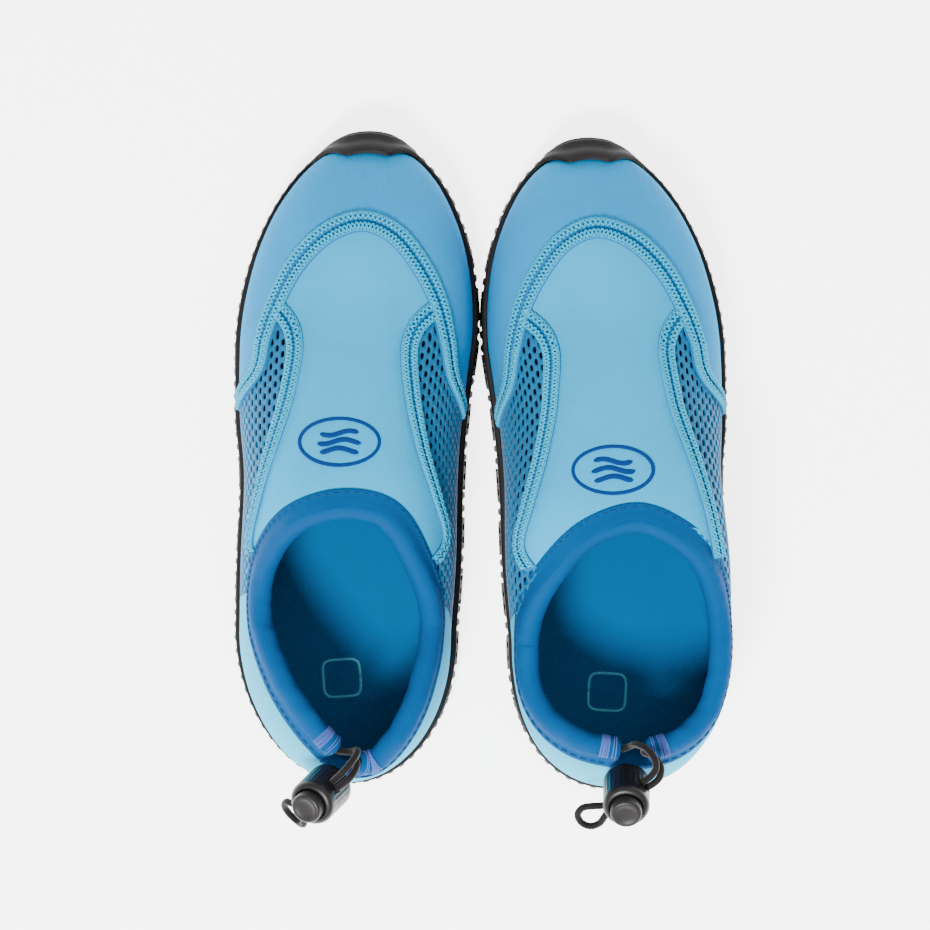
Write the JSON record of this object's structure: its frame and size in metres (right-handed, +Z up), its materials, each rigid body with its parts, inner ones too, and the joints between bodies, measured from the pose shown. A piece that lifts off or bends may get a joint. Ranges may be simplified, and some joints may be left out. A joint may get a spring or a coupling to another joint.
{
  "type": "pair of water shoes",
  "caption": "Pair of low slip-on water shoes in neoprene and mesh on treaded rubber soles, with an elastic drawcord round the collar and a push-button cord lock at the heel.",
  "frame": {"origin": "On the floor, under the middle of the pair's bounding box, measured without the free cord loops and the locks on them.", "axes": "+Y towards the toes, +Z up from the floor, +X to the wearer's right, so the left shoe is at negative X."},
  "size_m": [0.204, 0.2796, 0.0926],
  "materials": {
    "sole_rubber": "matte",
    "board_fabric": "matte non-woven",
    "insole_fabric": "brushed knit",
    "toe_neoprene": "jersey-faced neoprene, matte",
    "vamp_neoprene": "jersey-faced neoprene, matte",
    "side_mesh": "open knit mesh, matte",
    "heel_neoprene": "jersey-faced neoprene, matte",
    "lining_fabric": "knit",
    "tape_fabric": "flat-lock stitched",
    "emblem_print": "printed",
    "binding_fabric": "knit tape",
    "cord_fabric": "braided",
    "tack_thread": "satin thread",
    "lock_plastic": "moulded",
    "spring_steel": "wire"
  },
  "bodies": {
    "left_shoe": {"left_outsole": "sole_rubber", "left_strobel_board": "board_fabric", "left_insole": "insole_fabric", "left_toe_panel": "toe_neoprene", "left_vamp_panel": "vamp_neoprene", "left_lateral_mesh": "side_mesh", "left_medial_mesh": "side_mesh", "left_heel_panel": "heel_neoprene", "left_lining": "lining_fabric", "left_toe_seam_tape": "tape_fabric", "left_lateral_vamp_tape": "tape_fabric", "left_medial_vamp_tape": "tape_fabric", "left_emblem": "emblem_print", "left_collar_binding": "binding_fabric", "left_drawcord_in_collar": "cord_fabric", "left_drawcord_loop": "cord_fabric", "left_lateral_tunnel_tack": "tack_thread", "left_medial_tunnel_tack": "tack_thread"},
    "left_lock": {"left_lock_barrel": "lock_plastic", "left_lock_spring": "spring_steel"},
    "left_button": {"left_lock_button": "lock_plastic"},
    "right_shoe": {"right_outsole": "sole_rubber", "right_strobel_board": "board_fabric", "right_insole": "insole_fabric", "right_toe_panel": "toe_neoprene", "right_vamp_panel": "vamp_neoprene", "right_lateral_mesh": "side_mesh", "right_medial_mesh": "side_mesh", "right_heel_panel": "heel_neoprene", "right_lining": "lining_fabric", "right_toe_seam_tape": "tape_fabric", "right_lateral_vamp_tape": "tape_fabric", "right_medial_vamp_tape": "tape_fabric", "right_emblem": "emblem_print", "right_collar_binding": "binding_fabric", "right_drawcord_in_collar": "cord_fabric", "right_drawcord_loop": "cord_fabric", "right_lateral_tunnel_tack": "tack_thread", "right_medial_tunnel_tack": "tack_thread"},
    "right_lock": {"right_lock_barrel": "lock_plastic", "right_lock_spring": "spring_steel"},
    "right_button": {"right_lock_button": "lock_plastic"}
  },
  "joints": [
    {"name": "right_shoe_lift", "type": "slide", "parent": "left_shoe", "child": "right_shoe", "axis": [0, 0, 1], "range_m": [0, 0.15]},
    {"name": "left_lock_slide", "type": "slide", "parent": "left_shoe", "child": "left_lock", "axis": [-0.6688, -0.4917, -0.5576], "range_m": [-0.003, 0.001]},
    {"name": "left_button_press", "type": "slide", "parent": "left_lock", "child": "left_button", "axis": [0.4195, 0.3696, -0.8291], "range_m": [0, 0.003], "stiffness_N_per_m": 600, "springref_m": -0.004, "deforming": ["left_lock_spring"]},
    {"name": "right_lock_slide", "type": "slide", "parent": "right_shoe", "child": "right_lock", "axis": [-0.7881, -0.5119, -0.3417], "range_m": [-0.003, 0.001]},
    {"name": "right_button_press", "type": "slide", "parent": "right_lock", "child": "right_button", "axis": [0.041, 0.5102, -0.8591], "range_m": [0, 0.003], "stiffness_N_per_m": 600, "springref_m": -0.004, "deforming": ["right_lock_spring"]}
  ]
}
